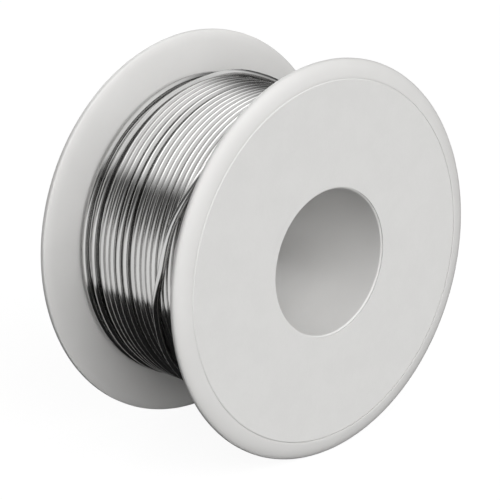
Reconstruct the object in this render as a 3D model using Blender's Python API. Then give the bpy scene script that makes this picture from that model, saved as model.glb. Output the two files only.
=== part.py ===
"""Solder wire spool: a reel moulded in two halves, its label and the wire wound on it.

The row frame has +Z up and +Y along the bore, from the labelled front face to the rear
face. The origin is on the bore's axis, half way between the two outermost faces. Lengths
are metres; MM turns millimetres into metres.

How it goes together: the rear half carries the winding barrel, and the front half
carries the sleeve that lines the bore. The sleeve runs through the barrel and ends in the
rear flange's hole, and a collar on the front flange centres the barrel's open end. The
wire starts inside the barrel, comes out through a slot beside the rear flange, and is
wound in layers between the flanges.
"""

import math

import bmesh
import bpy
from mathutils import Matrix, Vector

MM = 0.001

# Driving dimensions of the reel.
FLANGE_RADIUS = 27.5 * MM
WIDTH = 28.2 * MM
RIM_THICKNESS = 1.7 * MM
SEAT_DEPTH = 0.55 * MM
SEAT_RADIUS = 25.05 * MM
BORE_RADIUS = 10.1 * MM
SLEEVE_WALL = 1.3 * MM
BARREL_RADIUS = 15.9 * MM
BARREL_WALL = 1.5 * MM
COLLAR_WALL = 1.4 * MM
COLLAR_HEIGHT = 2.5 * MM
BORE_CHAMFER = 0.3 * MM

# The rim: a flat crest, a crown that falls away to the edge, and a rounded inner corner.
# The front crown is the fuller one, and the rear rim's inner corner is the rounder one.
CREST_RAMP = 0.15 * MM
CREST_WIDTH = 0.5 * MM
FRONT_CROWN_DROP = 1.4 * MM
REAR_CROWN_DROP = 1.0 * MM
EDGE_LAND = 0.05 * MM
FRONT_INNER_CORNER = 0.3 * MM
REAR_INNER_CORNER = 1.6 * MM
CROWN_STEPS = 5
CORNER_STEPS = 4

# The label, a paper ring stuck on the front seat.
LABEL_OUTER_RADIUS = 24.8 * MM
LABEL_HOLE_RADIUS = 10.45 * MM
LABEL_THICKNESS = 0.15 * MM

# The wound wire.
WIRE_DIAMETER = 1.0 * MM
WIRE_BEVEL_STEPS = 2
COIL_END_RADIUS = 21.6 * MM
COIL_CROWN = 0.9 * MM
COIL_CROWN_STEPS = 8

# The wire's start, inside the barrel, and the slot that it comes in through.
TAIL_RADIUS = 13.2 * MM
TAIL_OFFSET = 1.2 * MM
TAIL_ENTRY_DEG = 40.0
TAIL_RAMP_DEG = 28.0
TAIL_REST_DEG = 55.0
TAIL_STEPS = 20
SLOT_LENGTH = 6.4 * MM
SLOT_WIDTH = 1.7 * MM
SLOT_DEPTH = 2.0 * BARREL_WALL
SLOT_PLACE = 0.35  # along the ramp, where the wire goes through the barrel's wall

# Room that touching pieces keep between them, and the facets of every turned piece.
GAP = 0.3 * MM
SEGMENTS = 72
SHARP_ANGLE_DEG = 35.0
MERGE_DISTANCE = 0.001 * MM

FRONT = -1.0
REAR = 1.0
INNER_FACE = WIDTH / 2.0 - RIM_THICKNESS
SEAT_FACE = WIDTH / 2.0 - SEAT_DEPTH
SLEEVE_RADIUS = BORE_RADIUS + SLEEVE_WALL
BARREL_BORE = BARREL_RADIUS - BARREL_WALL


def clear_scene():
    """Remove every object that the file opened with."""
    for item in list(bpy.data.objects):
        bpy.data.objects.remove(item, do_unlink=True)


def plain_material(name, color, roughness, metallic):
    """Return a Principled material of one colour."""
    material = bpy.data.materials.new(name)
    material.use_nodes = True
    shader = material.node_tree.nodes["Principled BSDF"]
    shader.inputs["Base Color"].default_value = (*color, 1.0)
    shader.inputs["Roughness"].default_value = roughness
    shader.inputs["Metallic"].default_value = metallic
    return material


def link_object(name, data, material, parent):
    """Put mesh or curve data in the scene as a named object under the parent."""
    piece = bpy.data.objects.new(name, data)
    piece.data.materials.append(material)
    bpy.context.scene.collection.objects.link(piece)
    piece.parent = parent
    return piece


def turned(name, outline, material, parent):
    """Spin a closed outline of (radius, y) points round the bore's axis."""
    mesh = bpy.data.meshes.new(name)
    shape = bmesh.new()
    points = [shape.verts.new((radius, y, 0.0)) for radius, y in outline]
    edges = [shape.edges.new((points[i - 1], points[i])) for i in range(len(points))]
    bmesh.ops.spin(
        shape,
        geom=points + edges,
        cent=(0.0, 0.0, 0.0),
        axis=(0.0, 1.0, 0.0),
        angle=2.0 * math.pi,
        steps=SEGMENTS,
        use_merge=True,
    )
    bmesh.ops.remove_doubles(shape, verts=shape.verts, dist=MERGE_DISTANCE)
    bmesh.ops.recalc_face_normals(shape, faces=shape.faces)
    # Half a facet of turn, so that the reel stands on a facet and not on an edge.
    half_facet = Matrix.Rotation(math.pi / SEGMENTS, 3, "Y")
    bmesh.ops.rotate(shape, cent=(0.0, 0.0, 0.0), matrix=half_facet, verts=shape.verts)
    shape.to_mesh(mesh)
    shape.free()
    mesh.shade_smooth()
    mesh.set_sharp_from_angle(angle=math.radians(SHARP_ANGLE_DEG))
    return link_object(name, mesh, material, parent)


def arc(centre, radii, start_deg, end_deg, steps):
    """Points along an ellipse's arc in the (radius, y) plane, both ends included."""
    points = []
    for i in range(steps + 1):
        angle = math.radians(start_deg + (end_deg - start_deg) * i / steps)
        points.append((centre[0] + radii[0] * math.cos(angle), centre[1] + radii[1] * math.sin(angle)))
    return points


def rim_outline(side, crown_drop, inner_corner):
    """The rim from its inner corner, round the edge and over the crest, to the seat."""
    outer_face = WIDTH / 2.0
    edge_low = outer_face - crown_drop - EDGE_LAND
    edge_high = outer_face - crown_drop
    crest_start = SEAT_RADIUS + CREST_RAMP
    crown_start = crest_start + CREST_WIDTH
    corner_radii = (inner_corner, edge_low - INNER_FACE)
    corner = arc((FLANGE_RADIUS - inner_corner, edge_low), corner_radii, -90.0, 0.0, CORNER_STEPS)
    crown_radii = (FLANGE_RADIUS - crown_start, crown_drop)
    crown = arc((crown_start, edge_high), crown_radii, 0.0, 90.0, CROWN_STEPS)
    seat_wall = [(crest_start, outer_face), (SEAT_RADIUS, SEAT_FACE)]
    return [(radius, side * y) for radius, y in corner + crown + seat_wall]


def front_half(material, parent):
    """Front flange with the bore's sleeve and the collar that centres the barrel."""
    mouth = BORE_RADIUS + BORE_CHAMFER
    collar_outer = BARREL_BORE - GAP
    collar_inner = collar_outer - COLLAR_WALL
    collar_end = -INNER_FACE + COLLAR_HEIGHT
    inside = [
        (mouth, -SEAT_FACE),
        (BORE_RADIUS, -SEAT_FACE + BORE_CHAMFER),
        (BORE_RADIUS, SEAT_FACE - BORE_CHAMFER),
        (mouth, SEAT_FACE),
        (SLEEVE_RADIUS, SEAT_FACE),
        (SLEEVE_RADIUS, -INNER_FACE),
        (collar_inner, -INNER_FACE),
        (collar_inner, collar_end),
        (collar_outer, collar_end),
        (collar_outer, -INNER_FACE),
    ]
    rim = rim_outline(FRONT, FRONT_CROWN_DROP, FRONT_INNER_CORNER)
    return turned("front_spool_half", inside + rim, material, parent)


def rear_half(material, parent):
    """Rear flange with the barrel that the wire is wound on, slotted for its start."""
    hole = SLEEVE_RADIUS + GAP
    barrel_end = -INNER_FACE + GAP
    inside = [
        (hole, SEAT_FACE),
        (hole, INNER_FACE),
        (BARREL_BORE, INNER_FACE),
        (BARREL_BORE, barrel_end),
        (BARREL_RADIUS, barrel_end),
        (BARREL_RADIUS, INNER_FACE),
    ]
    rim = rim_outline(REAR, REAR_CROWN_DROP, REAR_INNER_CORNER)
    piece = turned("rear_spool_half", inside + rim, material, parent)
    cut = piece.modifiers.new("wire_slot", "BOOLEAN")
    cut.operation = "DIFFERENCE"
    cut.solver = "EXACT"
    cut.object = slot_cutter(material, parent)
    return piece


def tail_radius_at(turn_deg):
    """Radius of the wire's centre as it ramps from the barrel's surface to its inside."""
    share = min(max(turn_deg / TAIL_RAMP_DEG, 0.0), 1.0)
    eased = share * share * (3.0 - 2.0 * share)
    outside = BARREL_RADIUS + WIRE_DIAMETER / 2.0
    return outside + (TAIL_RADIUS - outside) * eased


def slot_cutter(material, parent):
    """Block that cuts the wire's slot through the barrel's wall."""
    mesh = bpy.data.meshes.new("slot_cutter")
    shape = bmesh.new()
    bmesh.ops.create_cube(shape, size=1.0)
    size = Vector((SLOT_DEPTH, SLOT_WIDTH, SLOT_LENGTH))
    bmesh.ops.scale(shape, vec=size, verts=shape.verts)
    shape.to_mesh(mesh)
    shape.free()
    cutter = link_object("slot_cutter", mesh, material, parent)
    angle = math.radians(TAIL_ENTRY_DEG + SLOT_PLACE * TAIL_RAMP_DEG)
    radius = BARREL_RADIUS - BARREL_WALL / 2.0
    cutter.location = (radius * math.cos(angle), INNER_FACE - TAIL_OFFSET, radius * math.sin(angle))
    cutter.rotation_euler = (0.0, -angle, 0.0)
    cutter.hide_render = True
    cutter.display_type = "WIRE"
    return cutter


def front_label(material, parent):
    """Paper ring on the front seat."""
    back = -SEAT_FACE - GAP
    face = back - LABEL_THICKNESS
    outline = [
        (LABEL_HOLE_RADIUS, face),
        (LABEL_HOLE_RADIUS, back),
        (LABEL_OUTER_RADIUS, back),
        (LABEL_OUTER_RADIUS, face),
    ]
    return turned("front_label", outline, material, parent)


def wire_coil(material, parent):
    """The wound wire as one ring, slightly crowned as wound layers are."""
    end = INNER_FACE - GAP
    inner = BARREL_RADIUS + GAP
    outer = []
    for i in range(COIL_CROWN_STEPS + 1):
        across = 2.0 * i / COIL_CROWN_STEPS - 1.0
        radius = COIL_END_RADIUS + COIL_CROWN * (1.0 - across * across)
        outer.append((radius, across * end))
    outline = [(inner, end), (inner, -end)] + outer
    return turned("solder_wire_coil", outline, material, parent)


def wire_start(material, parent):
    """The wire's start, from the slot to its end inside the barrel."""
    highest = BARREL_RADIUS - WIRE_DIAMETER / 2.0
    turns = [TAIL_REST_DEG * i / TAIL_STEPS for i in range(TAIL_STEPS + 1)]
    route = [(turn, tail_radius_at(turn)) for turn in turns if tail_radius_at(turn) <= highest]
    curve = bpy.data.curves.new("wire_start", "CURVE")
    curve.dimensions = "3D"
    curve.bevel_depth = WIRE_DIAMETER / 2.0
    curve.bevel_resolution = WIRE_BEVEL_STEPS
    curve.use_fill_caps = True
    spline = curve.splines.new("POLY")
    spline.points.add(len(route) - 1)
    for point, (turn, radius) in zip(spline.points, route):
        angle = math.radians(TAIL_ENTRY_DEG + turn)
        y = INNER_FACE - TAIL_OFFSET
        point.co = (radius * math.cos(angle), y, radius * math.sin(angle), 1.0)
    return link_object("wire_start", curve, material, parent)


def main():
    clear_scene()
    reel = bpy.data.objects.new("reel_axis", None)
    bpy.context.scene.collection.objects.link(reel)
    plastic = plain_material("white_plastic", (0.78, 0.78, 0.77), 0.42, 0.0)
    paper = plain_material("label_paper", (0.66, 0.66, 0.65), 0.7, 0.0)
    solder = plain_material("solder", (0.62, 0.62, 0.61), 0.22, 1.0)
    front_half(plastic, reel)
    rear_half(plastic, reel)
    front_label(paper, reel)
    wire_coil(solder, reel)
    wire_start(solder, reel)


main()
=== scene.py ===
"""Solder wire spool: the fine surface, the wire turn by turn, the materials and the light.

The row frame is part.py's: metres, +Z up, +Y along the bore from the labelled front to
the rear, origin on the bore's axis half way between the flanges. MM turns millimetres
into metres. An angle round the reel is measured from +X towards +Z.
"""

import math

import bmesh
import bpy
import numpy as np
from mathutils import Euler, Matrix, Vector


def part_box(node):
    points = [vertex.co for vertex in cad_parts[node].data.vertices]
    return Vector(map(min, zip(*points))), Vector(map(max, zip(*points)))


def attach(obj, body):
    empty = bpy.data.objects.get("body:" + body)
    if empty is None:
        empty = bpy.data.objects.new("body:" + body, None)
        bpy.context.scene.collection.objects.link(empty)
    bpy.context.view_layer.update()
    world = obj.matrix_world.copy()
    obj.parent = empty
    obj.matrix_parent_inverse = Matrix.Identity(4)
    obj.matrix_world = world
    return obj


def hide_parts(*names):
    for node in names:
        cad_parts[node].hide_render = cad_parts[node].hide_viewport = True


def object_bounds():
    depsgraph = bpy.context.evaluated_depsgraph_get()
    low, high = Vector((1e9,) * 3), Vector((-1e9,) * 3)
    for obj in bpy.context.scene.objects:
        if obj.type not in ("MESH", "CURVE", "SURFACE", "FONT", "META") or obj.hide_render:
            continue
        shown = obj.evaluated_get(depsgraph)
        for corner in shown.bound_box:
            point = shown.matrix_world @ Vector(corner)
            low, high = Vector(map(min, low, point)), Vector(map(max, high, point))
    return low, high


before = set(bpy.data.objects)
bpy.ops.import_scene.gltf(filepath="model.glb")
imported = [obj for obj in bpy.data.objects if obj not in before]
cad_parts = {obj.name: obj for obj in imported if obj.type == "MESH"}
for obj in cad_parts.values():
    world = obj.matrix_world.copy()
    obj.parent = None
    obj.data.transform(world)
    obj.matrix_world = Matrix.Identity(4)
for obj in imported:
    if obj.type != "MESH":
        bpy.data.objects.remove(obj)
CAD_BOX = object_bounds()

MM = 0.001
FULL_TURN = 2.0 * math.pi

# The reel, as part.py has it. The finest measures are set here a little more closely.
FLANGE_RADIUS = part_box("front_spool_half")[1].x
HALF_WIDTH = -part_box("front_spool_half")[0].y
RIM_THICKNESS = 1.7 * MM
FRONT_SEAT_DEPTH = 0.17 * MM
REAR_SEAT_DEPTH = 0.26 * MM
SEAT_RADIUS = 24.94 * MM
BORE_RADIUS = 10.05 * MM
BORE_CHAMFER = 0.25 * MM
SLEEVE_WALL = 1.3 * MM
BARREL_RADIUS = 15.9 * MM
BARREL_WALL = 1.5 * MM
COLLAR_WALL = 1.4 * MM
COLLAR_HEIGHT = 2.5 * MM
GAP = 0.3 * MM

# The rims: from the seat a short ramp up to the crest, an elliptical crown down to the
# edge, a narrow land and a rounded inner corner. The front crest lies lower than the label.
CREST_RAMP = 0.02 * MM
FRONT_CREST_DROP = 0.08 * MM
REAR_CREST_DROP = 0.0 * MM
CROWN_CENTRE = 24.3 * MM
FRONT_CROWN_DROP = 1.15 * MM
REAR_CROWN_DROP = 1.0 * MM
FRONT_EDGE_LAND = 0.05 * MM
REAR_EDGE_LAND = 0.35 * MM
FRONT_INNER_CORNER = 0.3 * MM
REAR_INNER_CORNER = 1.6 * MM

INNER_FACE = HALF_WIDTH - RIM_THICKNESS
FRONT_SEAT = HALF_WIDTH - FRONT_SEAT_DEPTH
REAR_SEAT = HALF_WIDTH - REAR_SEAT_DEPTH
SLEEVE_RADIUS = BORE_RADIUS + SLEEVE_WALL
BARREL_BORE = BARREL_RADIUS - BARREL_WALL
FRONT = -1.0
REAR = 1.0

# How finely turned shapes are drawn, and the angle from which their edges stay sharp.
SEGMENTS = 288
ARC_STEPS = 12
CHAMFER_STEPS = 6
RAMP_STEPS = 4
TURNED_SHARP_DEG = 26.0

# The label: a paper ring on the front seat, bevelled round its outer edge (width and
# height), and stuck on slightly off centre (x and z).
LABEL_OUTER_RADIUS = 24.89 * MM
LABEL_BEVEL = (0.14 * MM, 0.08 * MM)
LABEL_HOLE_RADIUS = 10.3 * MM
LABEL_SHIFT = (-0.04 * MM, 0.04 * MM)

# The wire. It is drawn a little thinner than it is, so that turns lie clear of each other.
WIRE_DIAMETER = 1.0 * MM
DRAWN_RADIUS = 0.49 * MM
ROSIN_SHARE = 0.34
WIRE_SIDES = 12
WIRE_SHARP_DEG = 50.0

# How it is laid. Its place is worked out at stations, of which the hidden layers draw only
# every fourth or second one: few deep down, more on the layer under the outer one.
STATIONS = 96
DEEP_STATIONS_EVERY = 4
NEAR_STATIONS_EVERY = 2
FIRST_ANGLE_DEG = 40.0
FLANGE_PLAY = 0.05 * MM
EDGE_TURN = INNER_FACE - WIRE_DIAMETER / 2.0 - FLANGE_PLAY

# The wire's start inside the barrel.
TAIL_RADIUS = 13.2 * MM
TAIL_OFFSET = 1.2 * MM
TAIL_RAMP_DEG = 28.0
TAIL_REST_DEG = 55.0
TAIL_STEPS = 22

# The slot through the barrel's wall that the wire's start comes in through: its size, and
# how far along the start's ramp it lies.
SLOT_SIZE = (3.0 * MM, 1.7 * MM, 6.4 * MM)
SLOT_PLACE = 0.35

# Inner layers: number of turns, play at the flanges, and where in a turn the wire steps
# over, as a share of the turn.
INNER_LAYERS = (
    (24, 0.0 * MM, 0.18),
    (23, 0.25 * MM, 0.30),
    (23, 0.25 * MM, 0.06),
    (24, 0.0 * MM, 0.06),
    (23, 0.25 * MM, 0.24),
)
INNER_STEP_SHARE = 0.12
# The outer layer's turns from front to rear. Each one steps over on the hidden side, and
# drifts the rest of the way to the rear on the left side: (place, drift) in millimetres.
OUTER_STEP_AT = 0.14
OUTER_STEP_SHARE = 0.36
OUTER_DRIFT_AT = 0.736
OUTER_DRIFT_SHARE = 0.28
OUTER_TURNS_MM = (
    (-11.85, 0.8), (-10.8, 0.8), (-9.75, 0.8), (-8.7, 0.8), (-7.65, 0.8), (-6.6, 0.8),
    (-5.6, 0.8), (-4.6, 0.8), (-3.55, 0.8), (-2.42, 0.8), (-1.35, 0.8), (-0.32, 0.8),
    (0.7, 0.8), (1.72, 0.8), (3.17, 0.75), (4.6, 0.45), (5.82, 0.27), (6.84, 0.27),
    (7.86, 0.25), (11.4, 0.0),
)
# The last turns lie at the rear flange and then cross the layer to the front: degrees
# wound since the last outer turn passed the left side, and the place in millimetres.
CROSSING_MM = (
    (0, 11.4), (90, 11.4), (170, 11.2), (260, 10.0), (330, 9.6), (360, 9.5), (390, 9.5),
    (420, 9.4), (445, 9.35), (465, 8.0), (500, 5.4), (540, 3.0), (590, 1.2), (630, 0.0),
    (650, -0.9), (680, -2.0), (700, -2.75), (712, -3.5), (724, -4.8), (740, -5.6),
    (752, -6.7), (770, -8.0), (790, -9.6), (810, -10.8), (840, -11.85), (935, -11.85),
)
LEFT_SIDE_DEG = 220.0

# How often a turn is pulled taut over what it rests on, and the whole wire smoothed.
TENSION_SWEEPS = 25
SMOOTHING_SWEEPS = 2

# The camera: where it stands round the origin, how far, and its lens.
CAMERA_AZIMUTH_DEG = -44.14
CAMERA_ELEVATION_DEG = 16.96
CAMERA_ROLL_DEG = 0.18
CAMERA_DISTANCE = 311.9 * MM
CAMERA_LENS_MM = 163.0
CAMERA_SENSOR_MM = 36.0
CAMERA_SHIFT = (-0.0144, -0.0187)
CAMERA_CLIP_START = 10.0 * MM

# The lights: a soft key from the front and above, a weaker one from the left that skims
# the rims, and one from behind for the rear face. Each has a name, the direction towards
# it, its size in the sky in degrees and its strength.
LIGHT_COLOUR = (1.0, 0.997, 0.99)
LIGHTS = (
    ("key", (-0.22, -0.89, 0.43), 75.0, 3.22),
    ("side", (-1.0, 0.0, 0.15), 20.0, 0.3),
    ("back", (0.55, 0.83, 0.15), 30.0, 1.4),
)

# The sky's even light: none where a direction's cosine to FILL_TOWARDS is below
# FILL_FROM, and FILL_HIGH straight towards it.
FILL_TOWARDS = (-0.3, -0.45, 0.84)
FILL_FROM = -0.2
FILL_LOW = 0.0
FILL_HIGH = 0.34
BACKDROP = (0.99, 0.99, 0.99, 1.0)

# What the gloss sees instead: two softboxes in a dim sky. Each range turns one measure of
# a direction into a strength: where the range starts and ends, and then the strengths
# there, which are 0 and 1 where they aren't given. Tilt and curve shape a box's edges.
UPPER_BOX_TILT = 0.5
UPPER_BOX_BY_HEIGHT = (0.12, 0.42)
UPPER_BOX_TO_REAR = (0.2, 0.6, 0.95, 2.4)
UPPER_BOX_TO_RIGHT = (0.4, 0.8, 1.0, 0.0)
LOWER_BOX_TILT = 0.25
LOWER_BOX_CURVE = 0.2
LOWER_BOX_TOP = (0.3, 0.04, 0.0, 0.99)
LOWER_BOX_BOTTOM = (-0.62, -0.57)
LOWER_BOX_TO_LEFT = (0.1, -0.3)
LOWER_BOX_TO_REAR = (-0.9, -0.55, 0.15, 1.0)
DIM_SKY_BY_HEIGHT = (-0.5, -0.1, 0.014, 0.1)

# The floor: its shade, and the glow that keeps it pale.
FLOOR_HALF_SIZE = 2.0
FLOOR_SHADE = (0.12, 0.12, 0.12, 1.0)
FLOOR_GLOW = 0.93

# Colours that each material varies between.
PLASTIC_COLOURS = ((0.68, 0.676, 0.669, 1.0), (0.70, 0.696, 0.689, 1.0))
PAPER_COLOURS = ((0.672, 0.67, 0.663, 1.0), (0.692, 0.69, 0.683, 1.0))
SOLDER_COLOURS = ((0.51, 0.508, 0.502, 1.0), (0.6, 0.597, 0.59, 1.0))
ROSIN_COLOURS = ((0.42, 0.2, 0.05, 1.0), (0.6, 0.34, 0.1, 1.0))
WHITE = (1.0, 1.0, 1.0, 1.0)


# ---------------------------------------------------------------- the wire's route


def eased(share):
    """Smooth step from 0 to 1."""
    share = np.clip(share, 0.0, 1.0)
    return share * share * (3.0 - 2.0 * share)


def monotone_curve(knots, at):
    """Smooth curve through (x, value) knots that doesn't swing past them."""
    x, value = np.array(knots, dtype=float).T
    slope = np.diff(value) / np.diff(x)
    same_way = slope[:-1] * slope[1:] > 0.0
    total = np.where(same_way, slope[:-1] + slope[1:], 1.0)
    inner = np.where(same_way, 2.0 * slope[:-1] * slope[1:] / total, 0.0)
    tangent = np.concatenate([[0.0], inner, [0.0]])
    at = np.clip(at, x[0], x[-1])
    cell = np.clip(np.searchsorted(x, at) - 1, 0, len(x) - 2)
    width = x[cell + 1] - x[cell]
    t = (at - x[cell]) / width
    start = (1.0 + 2.0 * t) * (1.0 - t) ** 2 * value[cell]
    end = t * t * (3.0 - 2.0 * t) * value[cell + 1]
    leaving = t * (1.0 - t) ** 2 * width * tangent[cell]
    arriving = t * t * (t - 1.0) * width * tangent[cell + 1]
    return start + end + leaving + arriving


def planned_steps():
    """The wire's steps along the bore: turns wound, place stepped to, and step's length."""
    steps = []
    first = 0
    for number, (count, play, step_at) in enumerate(INNER_LAYERS):
        rear_to_front = 1.0 if number % 2 == 0 else -1.0
        reach = EDGE_TURN - play
        for i in range(count):
            place = rear_to_front * reach * (1.0 - 2.0 * i / (count - 1))
            steps.append((first + i + step_at, place, INNER_STEP_SHARE))
        first += count
    for i, (place, drift) in enumerate(OUTER_TURNS_MM):
        steps.append((first + i + OUTER_STEP_AT, place * MM, OUTER_STEP_SHARE))
        steps.append((first + i + OUTER_DRIFT_AT, (place + drift) * MM, OUTER_DRIFT_SHARE))
    return steps, first + len(OUTER_TURNS_MM) - 1


def places_along_bore():
    """The wire's place along the bore at each station, and the turns wound by then."""
    steps, last_turn = planned_steps()
    left_side = last_turn + LEFT_SIDE_DEG / 360.0
    last = left_side + CROSSING_MM[-1][0] / 360.0
    wound = np.arange(int(last * STATIONS) + 1) / STATIONS
    here = INNER_FACE - TAIL_OFFSET
    places = np.full(len(wound), here)
    for middle, place, share in steps:
        places += (place - here) * eased((wound - middle) / share + 0.5)
        here = place
    crossing = wound > left_side
    since = (wound[crossing] - left_side) * 360.0
    places[crossing] = monotone_curve(CROSSING_MM, since) * MM
    return places, wound


def lifted_by(places, radii, under, turn):
    """Radius at which a turn's stations rest on the turns wound before it."""
    floor = np.full(STATIONS, BARREL_RADIUS + WIRE_DIAMETER / 2.0)
    if under == 0:
        return floor
    beside = np.abs(places[:under] - places[turn])
    rise = np.sqrt(np.maximum(WIRE_DIAMETER**2 - beside**2, 0.0))
    rest = np.where(beside < WIRE_DIAMETER, radii[:under] + rise, 0.0)
    return np.maximum(floor, rest.max(axis=0))


def pulled_taut(line):
    """Lift stations to the straight line between their neighbours, as tension does."""
    shorten = 2.0 * math.cos(FULL_TURN / STATIONS)
    for _ in range(TENSION_SWEEPS):
        chord = shorten * line[:-2] * line[2:] / (line[:-2] + line[2:])
        line[1:-1] = np.maximum(line[1:-1], chord)
    return line


def stacked_radii(places):
    """Radius of the wire's centre at each station, each turn resting on those below."""
    count = math.ceil(len(places) / STATIONS)
    far_away = INNER_FACE * 10.0
    grid = np.full((count, STATIONS), far_away)
    grid.flat[: len(places)] = places
    radii = np.zeros((count, STATIONS))
    before = BARREL_RADIUS + WIRE_DIAMETER / 2.0
    for turn in range(count):
        here = lifted_by(grid, radii, turn, turn)
        after = lifted_by(grid, radii, turn, min(turn + 1, count - 1))
        line = pulled_taut(np.concatenate([[before], here, after]))
        radii[turn] = line[1 : STATIONS + 1]
        before = radii[turn, -1]
    smooth = radii.flat[: len(places)].copy()
    for _ in range(SMOOTHING_SWEEPS):
        smooth[1:-1] = (smooth[:-2] + 2.0 * smooth[1:-1] + smooth[2:]) / 4.0
    return smooth


def around_reel(angles, radii, places):
    """Points at angles (radians) and radii round the bore's axis."""
    return np.stack([radii * np.cos(angles), places, radii * np.sin(angles)], axis=1)


def tail_points():
    """The wire's start, from its end inside the barrel out to the first turn."""
    turn = np.linspace(TAIL_REST_DEG, 0.0, TAIL_STEPS, endpoint=False)
    outside = BARREL_RADIUS + WIRE_DIAMETER / 2.0
    radii = outside + (TAIL_RADIUS - outside) * eased(turn / TAIL_RAMP_DEG)
    places = np.full(TAIL_STEPS, INNER_FACE - TAIL_OFFSET)
    return around_reel(np.radians(FIRST_ANGLE_DEG + turn), radii, places)


def kept_stations(wound):
    """Stations to draw: all on the outer layer, fewer on the layers that it hides."""
    outer_start = sum(count for count, _, _ in INNER_LAYERS)
    second_start = outer_start - INNER_LAYERS[-1][0]
    number = np.arange(len(wound))
    near = np.where(wound < outer_start, NEAR_STATIONS_EVERY, 1)
    every = np.where(wound < second_start, DEEP_STATIONS_EVERY, near)
    return number % every == 0


def wire_route():
    """The wire's centreline from its hidden start to its loose end."""
    places, wound = places_along_bore()
    radii = stacked_radii(places)
    angles = math.radians(FIRST_ANGLE_DEG) - wound * FULL_TURN
    turns = around_reel(angles, radii, places)
    return np.concatenate([tail_points(), turns[kept_stations(wound)]])


def length_of(points):
    return float(np.linalg.norm(np.diff(points, axis=0), axis=1).sum())


# ---------------------------------------------------------------- mesh building


def link_object(name, mesh, materials):
    piece = bpy.data.objects.new(name, mesh)
    bpy.context.scene.collection.objects.link(piece)
    for material in materials:
        mesh.materials.append(material)
    return piece


def ring_of(point, radial, sideways, radius):
    """Points of one ring of the wire's skin."""
    angles = np.arange(WIRE_SIDES) * FULL_TURN / WIRE_SIDES
    out = np.cos(angles)[:, None] * radial + np.sin(angles)[:, None] * sideways
    return point + radius * out


def wire_frames(route):
    """At each route point, two directions square to the wire: outwards and sideways."""
    along = np.gradient(route, axis=0)
    along /= np.linalg.norm(along, axis=1)[:, None]
    outward = route * np.array([1.0, 0.0, 1.0])
    outward -= (outward * along).sum(axis=1)[:, None] * along
    outward /= np.linalg.norm(outward, axis=1)[:, None]
    return outward, np.cross(along, outward)


def wire_mesh(name, route):
    """Tube round the route, with its ends cut square and the rosin core in them."""
    outward, sideways = wire_frames(route)
    count = len(route)
    rings = [ring_of(*line, DRAWN_RADIUS) for line in zip(route, outward, sideways)]
    core_radius = DRAWN_RADIUS * ROSIN_SHARE
    for i in (0, count - 1):
        rings.append(ring_of(route[i], outward[i], sideways[i], core_radius))
    points = np.concatenate(rings)
    sides = range(WIRE_SIDES)
    faces = []
    for i in range(count - 1):
        low = i * WIRE_SIDES
        for side in sides:
            after = (side + 1) % WIRE_SIDES
            high = low + WIRE_SIDES
            faces.append((low + side, low + after, high + after, high + side))
    start_core = count * WIRE_SIDES
    end_core = start_core + WIRE_SIDES
    end_ring = start_core - WIRE_SIDES
    for side in sides:
        after = (side + 1) % WIRE_SIDES
        faces.append((side, start_core + side, start_core + after, after))
        faces.append((end_ring + side, end_ring + after, end_core + after, end_core + side))
    faces.append(tuple(start_core + side for side in reversed(sides)))
    faces.append(tuple(end_core + side for side in sides))
    mesh = bpy.data.meshes.new(name)
    mesh.from_pydata(points.tolist(), [], faces)
    # The last two faces are the rosin core's ends.
    mesh.polygons.foreach_set("material_index", [0] * (len(faces) - 2) + [1, 1])
    mesh.shade_smooth()
    mesh.set_sharp_from_angle(angle=math.radians(WIRE_SHARP_DEG))
    add_wire_coordinates(mesh, route)
    return mesh


def add_wire_coordinates(mesh, route):
    """Store each point's distance along the wire and its place on the wire's section."""
    steps = np.linalg.norm(np.diff(route, axis=0), axis=1)
    along = np.concatenate([[0.0], np.cumsum(steps)])
    along = np.concatenate([along, along[[0, -1]]])
    angles = np.arange(WIRE_SIDES) * FULL_TURN / WIRE_SIDES
    coordinates = np.zeros((len(along), WIRE_SIDES, 3))
    coordinates[:, :, 0] = along[:, None]
    coordinates[:, :, 1] = DRAWN_RADIUS * np.cos(angles)
    coordinates[:, :, 2] = DRAWN_RADIUS * np.sin(angles)
    attribute = mesh.attributes.new("wire_place", "FLOAT_VECTOR", "POINT")
    attribute.data.foreach_set("vector", coordinates.ravel())


def arc(centre, radii, start_deg, end_deg, steps=ARC_STEPS):
    """Points along an ellipse's arc in the (radius, y) plane, both ends included."""
    points = []
    for i in range(steps + 1):
        angle = math.radians(start_deg + (end_deg - start_deg) * i / steps)
        radius = centre[0] + radii[0] * math.cos(angle)
        points.append((radius, centre[1] + radii[1] * math.sin(angle)))
    return points


def turned_mesh(name, outline):
    """Spin a closed outline of (radius, y) points round the bore's axis."""
    count = len(outline)
    points = []
    for i in range(SEGMENTS):
        angle = FULL_TURN * i / SEGMENTS
        across, up = math.cos(angle), math.sin(angle)
        points += [(radius * across, y, radius * up) for radius, y in outline]
    faces = []
    for i in range(SEGMENTS):
        low = i * count
        high = (i + 1) % SEGMENTS * count
        for j in range(count):
            after = (j + 1) % count
            faces.append((low + j, low + after, high + after, high + j))
    mesh = bpy.data.meshes.new(name)
    mesh.from_pydata(points, [], faces)
    face_outwards(mesh)
    mesh.shade_smooth()
    mesh.set_sharp_from_angle(angle=math.radians(TURNED_SHARP_DEG))
    return mesh


def face_outwards(mesh):
    """Point every face of a closed mesh outwards."""
    shape = bmesh.new()
    shape.from_mesh(mesh)
    bmesh.ops.recalc_face_normals(shape, faces=shape.faces)
    shape.to_mesh(mesh)
    shape.free()


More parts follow.
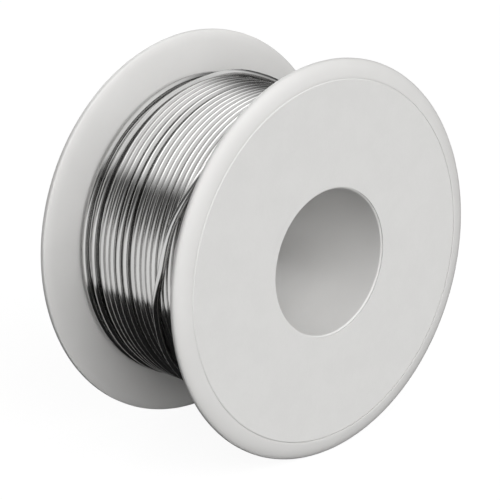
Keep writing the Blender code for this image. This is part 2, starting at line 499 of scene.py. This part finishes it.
def rim_outline(side, seat, crest_drop, crown_drop, edge_land, inner_corner):
    """The rim from its inner corner, round the edge and over the crown, to the seat."""
    edge_high = HALF_WIDTH - crown_drop
    edge_low = edge_high - edge_land
    top = HALF_WIDTH - crest_drop
    crest = SEAT_RADIUS + CREST_RAMP
    corner_radii = (inner_corner, edge_low - INNER_FACE)
    corner = arc((FLANGE_RADIUS - inner_corner, edge_low), corner_radii, -90.0, 0.0)
    crown_reach = FLANGE_RADIUS - CROWN_CENTRE
    crown_end = math.acos((crest - CROWN_CENTRE) / crown_reach)
    crown_radii = (crown_reach, (top - edge_high) / math.sin(crown_end))
    crown = arc((CROWN_CENTRE, edge_high), crown_radii, 0.0, math.degrees(crown_end))
    ramp_radii = (CREST_RAMP, CREST_RAMP)
    seat_wall = arc((crest, top - CREST_RAMP), ramp_radii, 90.0, 180.0, RAMP_STEPS)[1:]
    seat_wall.append((SEAT_RADIUS, seat))
    return [(radius, side * y) for radius, y in corner + crown + seat_wall]


# ---------------------------------------------------------------- materials


class Nodes:
    """A node tree with short ways to add nodes and to join them."""

    # The mix node's sockets for its share and its colours.
    MIX_SHARE, MIX_FIRST, MIX_SECOND = 0, 6, 7
    MIX_RESULT = 2

    def __init__(self, tree):
        self.tree = tree
        tree.nodes.clear()

    def add(self, kind, **settings):
        node = self.tree.nodes.new(kind)
        for name, value in settings.items():
            setattr(node, name, value)
        return node

    def join(self, source, target):
        self.tree.links.new(source, target)

    def feed(self, socket, value):
        """Give a socket a number or colour, or the output of another node."""
        if isinstance(value, bpy.types.NodeSocket):
            self.join(value, socket)
        else:
            socket.default_value = value

    def math(self, operation, first, second=0.0):
        node = self.add("ShaderNodeMath", operation=operation)
        self.feed(node.inputs[0], first)
        self.feed(node.inputs[1], second)
        return node.outputs[0]

    def vector(self, operation, first, second):
        node = self.add("ShaderNodeVectorMath", operation=operation)
        self.feed(node.inputs[0], first)
        self.feed(node.inputs[1], second)
        return node.outputs["Value" if operation == "DOT_PRODUCT" else "Vector"]

    def between(self, value, low, high, to_low=0.0, to_high=1.0):
        """Map low..high smoothly to to_low..to_high."""
        node = self.add("ShaderNodeMapRange", interpolation_type="SMOOTHSTEP")
        self.feed(node.inputs["Value"], value)
        node.inputs["From Min"].default_value = low
        node.inputs["From Max"].default_value = high
        node.inputs["To Min"].default_value = to_low
        node.inputs["To Max"].default_value = to_high
        return node.outputs["Result"]

    def noise(self, vector, scale, detail=2.0, roughness=0.5):
        node = self.add("ShaderNodeTexNoise")
        self.feed(node.inputs["Vector"], vector)
        node.inputs["Scale"].default_value = scale
        node.inputs["Detail"].default_value = detail
        node.inputs["Roughness"].default_value = roughness
        return node.outputs["Fac"]

    def mix(self, share, first, second):
        """Mix two colours."""
        node = self.add("ShaderNodeMix", data_type="RGBA")
        self.feed(node.inputs[self.MIX_SHARE], share)
        self.feed(node.inputs[self.MIX_FIRST], first)
        self.feed(node.inputs[self.MIX_SECOND], second)
        return node.outputs[self.MIX_RESULT]

    def bump(self, height, strength, distance, normal=None):
        node = self.add("ShaderNodeBump")
        self.feed(node.inputs["Height"], height)
        node.inputs["Strength"].default_value = strength
        node.inputs["Distance"].default_value = distance
        if normal is not None:
            self.join(normal, node.inputs["Normal"])
        return node.outputs["Normal"]


def surface(name):
    """New material with a Principled shader wired to its output."""
    material = bpy.data.materials.new(name)
    material.use_nodes = True
    nodes = Nodes(material.node_tree)
    shader = nodes.add("ShaderNodeBsdfPrincipled")
    output = nodes.add("ShaderNodeOutputMaterial")
    nodes.join(shader.outputs["BSDF"], output.inputs["Surface"])
    return material, nodes, shader


def plastic_material():
    """Moulded white polystyrene: faint flow marks, fine texture and a few scuffs."""
    material, nodes, shader = surface("white_plastic")
    place = nodes.add("ShaderNodeTexCoord").outputs["Object"]
    flow = nodes.noise(place, scale=140.0, detail=3.0)
    grain = nodes.noise(place, scale=2600.0)
    along = nodes.vector("MULTIPLY", place, (900.0, 140.0, 900.0))
    scuffs = nodes.noise(along, scale=1.0, detail=4.0, roughness=0.7)
    colour = nodes.mix(nodes.between(flow, 0.3, 0.7), *PLASTIC_COLOURS)
    nodes.feed(shader.inputs["Base Color"], colour)
    nodes.feed(shader.inputs["Roughness"], nodes.between(scuffs, 0.4, 0.75, 0.3, 0.42))
    shader.inputs["Specular IOR Level"].default_value = 0.35
    coarse = nodes.bump(flow, strength=0.08, distance=0.05 * MM)
    fine = nodes.bump(grain, strength=0.12, distance=0.008 * MM, normal=coarse)
    nodes.join(fine, shader.inputs["Normal"])
    return material


def paper_material():
    """Blank matt label paper with its fibre grain."""
    material, nodes, shader = surface("label_paper")
    place = nodes.add("ShaderNodeTexCoord").outputs["Object"]
    stretched = nodes.vector("MULTIPLY", place, (1.0, 1.0, 0.45))
    fibres = nodes.noise(stretched, scale=5200.0, detail=4.0, roughness=0.65)
    cloud = nodes.noise(place, scale=320.0)
    half_fibres = nodes.math("MULTIPLY", fibres, 0.5)
    tone = nodes.math("ADD", half_fibres, nodes.math("MULTIPLY", cloud, 0.5))
    colour = nodes.mix(nodes.between(tone, 0.35, 0.65), *PAPER_COLOURS)
    nodes.feed(shader.inputs["Base Color"], colour)
    nodes.feed(shader.inputs["Roughness"], nodes.between(fibres, 0.3, 0.7, 0.6, 0.75))
    shader.inputs["Specular IOR Level"].default_value = 0.25
    grain = nodes.bump(fibres, strength=0.15, distance=0.01 * MM)
    nodes.join(grain, shader.inputs["Normal"])
    return material


def solder_material():
    """Bright drawn tin-lead wire: fine draw lines along it and slight dulling."""
    material, nodes, shader = surface("drawn_solder")
    place = nodes.add("ShaderNodeAttribute", attribute_name="wire_place").outputs["Vector"]
    drawn_out = nodes.vector("MULTIPLY", place, (25.0, 6000.0, 6000.0))
    lines = nodes.noise(drawn_out, scale=1.0, roughness=0.6)
    longish = nodes.vector("MULTIPLY", place, (90.0, 500.0, 500.0))
    patches = nodes.noise(longish, scale=1.0, detail=3.0, roughness=0.55)
    colour = nodes.mix(nodes.between(patches, 0.3, 0.7), *SOLDER_COLOURS)
    nodes.feed(shader.inputs["Base Color"], colour)
    shader.inputs["Metallic"].default_value = 1.0
    nodes.feed(shader.inputs["Roughness"], nodes.between(patches, 0.3, 0.75, 0.1, 0.17))
    draw_lines = nodes.bump(lines, strength=0.35, distance=0.012 * MM)
    nodes.join(draw_lines, shader.inputs["Normal"])
    return material


def rosin_material():
    """Amber flux core seen at the wire's cut ends."""
    material, nodes, shader = surface("rosin_core")
    place = nodes.add("ShaderNodeTexCoord").outputs["Object"]
    cloud = nodes.noise(place, scale=9000.0)
    nodes.feed(shader.inputs["Base Color"], nodes.mix(cloud, *ROSIN_COLOURS))
    nodes.feed(shader.inputs["Roughness"], nodes.between(cloud, 0.3, 0.7, 0.25, 0.4))
    return material


# ---------------------------------------------------------------- the pieces


def wire_piece():
    """The whole wire: its start in the barrel, every turn, and its loose end."""
    route = wire_route()
    mesh = wire_mesh("solder_wire", route)
    piece = link_object("solder_wire", mesh, [solder_material(), rosin_material()])
    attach(piece, "root")
    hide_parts("solder_wire_coil", "wire_start")
    print(f"WIRE length {length_of(route):.3f} m, {len(route)} stations")


def front_piece(material):
    """Front moulding: flange, the sleeve that lines the bore, and the collar."""
    collar_outer = BARREL_BORE - GAP
    collar_inner = collar_outer - COLLAR_WALL
    collar_end = -INNER_FACE + COLLAR_HEIGHT
    round_over = (BORE_CHAMFER, BORE_CHAMFER)
    centre = BORE_RADIUS + BORE_CHAMFER
    mouth = arc((centre, -FRONT_SEAT + BORE_CHAMFER), round_over, 270.0, 180.0, CHAMFER_STEPS)
    far_mouth = arc((centre, REAR_SEAT - BORE_CHAMFER), round_over, 180.0, 90.0, CHAMFER_STEPS)
    inside = mouth + far_mouth + [
        (SLEEVE_RADIUS, REAR_SEAT),
        (SLEEVE_RADIUS, -INNER_FACE),
        (collar_inner, -INNER_FACE),
        (collar_inner, collar_end),
        (collar_outer, collar_end),
        (collar_outer, -INNER_FACE),
    ]
    rim = rim_outline(
        FRONT, FRONT_SEAT, FRONT_CREST_DROP, FRONT_CROWN_DROP, FRONT_EDGE_LAND, FRONT_INNER_CORNER
    )
    mesh = turned_mesh("front_moulding", inside + rim)
    piece = link_object("front_moulding", mesh, [material])
    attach(piece, "root")
    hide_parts("front_spool_half")


def cut_slot(piece):
    """Cut the wire's slot through the barrel's wall, where the start ramps through it."""
    mesh = bpy.data.meshes.new("slot")
    shape = bmesh.new()
    bmesh.ops.create_cube(shape, size=1.0)
    bmesh.ops.scale(shape, vec=SLOT_SIZE, verts=shape.verts)
    shape.to_mesh(mesh)
    shape.free()
    cutter = link_object("slot", mesh, [])
    angle = math.radians(FIRST_ANGLE_DEG + SLOT_PLACE * TAIL_RAMP_DEG)
    radius = BARREL_RADIUS - BARREL_WALL / 2.0
    place = INNER_FACE - TAIL_OFFSET
    cutter.location = (radius * math.cos(angle), place, radius * math.sin(angle))
    cutter.rotation_euler = (0.0, -angle, 0.0)
    cut = piece.modifiers.new("slot", "BOOLEAN")
    cut.solver = "EXACT"
    cut.object = cutter
    done = piece.evaluated_get(bpy.context.evaluated_depsgraph_get())
    solid = bpy.data.meshes.new_from_object(done)
    piece.modifiers.clear()
    piece.data = solid
    bpy.data.objects.remove(cutter)


def rear_piece(material):
    """Rear moulding: flange and the barrel that the wire is wound on."""
    hole = SLEEVE_RADIUS + GAP
    barrel_end = -INNER_FACE + GAP
    inside = [
        (hole, REAR_SEAT),
        (hole, INNER_FACE),
        (BARREL_BORE, INNER_FACE),
        (BARREL_BORE, barrel_end),
        (BARREL_RADIUS, barrel_end),
        (BARREL_RADIUS, INNER_FACE),
    ]
    rim = rim_outline(
        REAR, REAR_SEAT, REAR_CREST_DROP, REAR_CROWN_DROP, REAR_EDGE_LAND, REAR_INNER_CORNER
    )
    mesh = turned_mesh("rear_moulding", inside + rim)
    piece = link_object("rear_moulding", mesh, [material])
    cut_slot(piece)
    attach(piece, "root")
    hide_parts("rear_spool_half")


def label_piece():
    """Blank paper ring on the front seat."""
    face = -HALF_WIDTH
    bevel_width, bevel_height = LABEL_BEVEL
    outline = [
        (LABEL_HOLE_RADIUS, face),
        (LABEL_HOLE_RADIUS, -FRONT_SEAT),
        (LABEL_OUTER_RADIUS, -FRONT_SEAT),
        (LABEL_OUTER_RADIUS, face + bevel_height),
        (LABEL_OUTER_RADIUS - bevel_width, face),
    ]
    mesh = turned_mesh("label", outline)
    mesh.transform(Matrix.Translation((LABEL_SHIFT[0], 0.0, LABEL_SHIFT[1])))
    piece = link_object("label", mesh, [paper_material()])
    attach(piece, "root")
    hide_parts("front_label")


# ---------------------------------------------------------------- the set


def set_camera():
    """Camera at the viewing angle, looking at the origin."""
    lens = bpy.data.cameras.new("camera")
    lens.lens = CAMERA_LENS_MM
    lens.sensor_width = CAMERA_SENSOR_MM
    lens.shift_x, lens.shift_y = CAMERA_SHIFT
    lens.clip_start = CAMERA_CLIP_START
    camera = bpy.data.objects.new("camera", lens)
    bpy.context.scene.collection.objects.link(camera)
    tilt = math.radians(90.0 - CAMERA_ELEVATION_DEG)
    turn = Euler((tilt, 0.0, math.radians(CAMERA_AZIMUTH_DEG)), "XYZ").to_matrix().to_4x4()
    roll = Matrix.Rotation(math.radians(CAMERA_ROLL_DEG), 4, "Z")
    camera.matrix_world = turn @ roll @ Matrix.Translation((0.0, 0.0, CAMERA_DISTANCE))
    bpy.context.scene.camera = camera


def set_floor():
    """Pale floor under the rims, bright enough to keep only a faint contact shadow."""
    mesh = bpy.data.meshes.new("floor")
    low = CAD_BOX[0].z
    corners = [
        (x * FLOOR_HALF_SIZE, y * FLOOR_HALF_SIZE, low)
        for x, y in ((-1.0, -1.0), (1.0, -1.0), (1.0, 1.0), (-1.0, 1.0))
    ]
    mesh.from_pydata(corners, [], [(0, 1, 2, 3)])
    material, nodes, shader = surface("pale_floor")
    shader.inputs["Base Color"].default_value = FLOOR_SHADE
    shader.inputs["Roughness"].default_value = 1.0
    shader.inputs["Specular IOR Level"].default_value = 0.0
    shader.inputs["Emission Color"].default_value = WHITE
    shader.inputs["Emission Strength"].default_value = FLOOR_GLOW
    floor = link_object("floor", mesh, [material])
    floor.visible_glossy = False
    floor.visible_diffuse = False


def add_light(name, towards, size_deg, strength):
    """Distant light of a given size in the sky, left out of the gloss."""
    light = bpy.data.lights.new(name, "SUN")
    light.energy = strength
    light.angle = math.radians(size_deg)
    light.color = LIGHT_COLOUR
    lamp = bpy.data.objects.new(name, light)
    bpy.context.scene.collection.objects.link(lamp)
    lamp.rotation_euler = Vector(towards).to_track_quat("Z", "Y").to_euler()
    lamp.visible_glossy = False


def upper_box(nodes, x, y, z):
    """Softbox above, brighter to the rear and fading out to the right."""
    height = nodes.math("ADD", z, nodes.math("MULTIPLY", x, UPPER_BOX_TILT))
    box = nodes.between(height, *UPPER_BOX_BY_HEIGHT)
    box = nodes.math("MULTIPLY", box, nodes.between(y, *UPPER_BOX_TO_REAR))
    return nodes.math("MULTIPLY", box, nodes.between(x, *UPPER_BOX_TO_RIGHT))


def lower_box(nodes, x, y, z):
    """Softbox on the left, with a soft top edge and a sharper bottom edge."""
    top = nodes.math("ADD", z, nodes.math("MULTIPLY", y, LOWER_BOX_TILT))
    bend = nodes.math("MULTIPLY", nodes.math("MULTIPLY", y, y), LOWER_BOX_CURVE)
    bottom = nodes.math("SUBTRACT", z, bend)
    box = nodes.between(top, *LOWER_BOX_TOP)
    box = nodes.math("MULTIPLY", box, nodes.between(bottom, *LOWER_BOX_BOTTOM))
    box = nodes.math("MULTIPLY", box, nodes.between(x, *LOWER_BOX_TO_LEFT))
    return nodes.math("MULTIPLY", box, nodes.between(y, *LOWER_BOX_TO_REAR))


def set_world():
    """Soft sky for diffuse light, softboxes for gloss, and a pale backdrop."""
    world = bpy.data.worlds.new("studio")
    world.use_nodes = True
    world.cycles.sampling_method = "NONE"
    bpy.context.scene.world = world
    nodes = Nodes(world.node_tree)
    towards = nodes.add("ShaderNodeTexCoord").outputs["Generated"]
    split = nodes.add("ShaderNodeSeparateXYZ")
    nodes.join(towards, split.inputs[0])
    x, y, z = split.outputs
    facing = nodes.vector("DOT_PRODUCT", towards, FILL_TOWARDS)
    soft = nodes.between(facing, FILL_FROM, 1.0, FILL_LOW, FILL_HIGH)
    boxes = nodes.math("ADD", upper_box(nodes, x, y, z), lower_box(nodes, x, y, z))
    boxes = nodes.math("ADD", boxes, nodes.between(z, *DIM_SKY_BY_HEIGHT))
    path = nodes.add("ShaderNodeLightPath")
    light = nodes.mix(path.outputs["Is Glossy Ray"], soft, boxes)
    light = nodes.mix(path.outputs["Is Camera Ray"], light, BACKDROP)
    background = nodes.add("ShaderNodeBackground")
    nodes.join(light, background.inputs["Color"])
    output = nodes.add("ShaderNodeOutputWorld")
    nodes.join(background.outputs[0], output.inputs["Surface"])


set_camera()
wire_piece()
plastic = plastic_material()
front_piece(plastic)
rear_piece(plastic)
label_piece()
set_floor()
for light_settings in LIGHTS:
    add_light(*light_settings)
set_world()
bpy.context.scene.view_settings.view_transform = "Standard"
